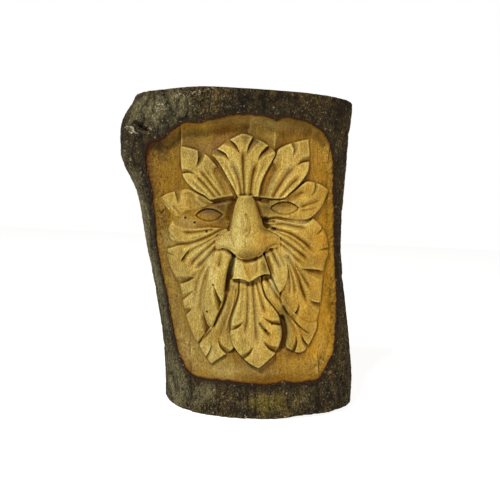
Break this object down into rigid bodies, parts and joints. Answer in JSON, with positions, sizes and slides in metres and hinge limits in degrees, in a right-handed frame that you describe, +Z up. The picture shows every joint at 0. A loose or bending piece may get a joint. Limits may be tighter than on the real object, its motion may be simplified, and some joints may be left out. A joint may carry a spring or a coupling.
{
  "type": "green man mask",
  "caption": "Carved green man mask: a face of leaves in a sunk field on the round front of a half log, with the bark left on round it, a flat split back and sawn ends.",
  "frame": {"origin": "on the sawn foot, at the middle of its width and 0.45 of its depth in front of the flat back", "axes": "+Z up the log, the carved face looks along -Y, +X towards the right of the picture, the side of the mask's own left cheek"},
  "size_m": [0.2442, 0.084, 0.3],
  "materials": {
    "waxed_wood": "waxed carved wood, with bark round the carving"
  },
  "bodies": {
    "root": {"carved_half_log": "waxed_wood"}
  },
  "joints": []
}
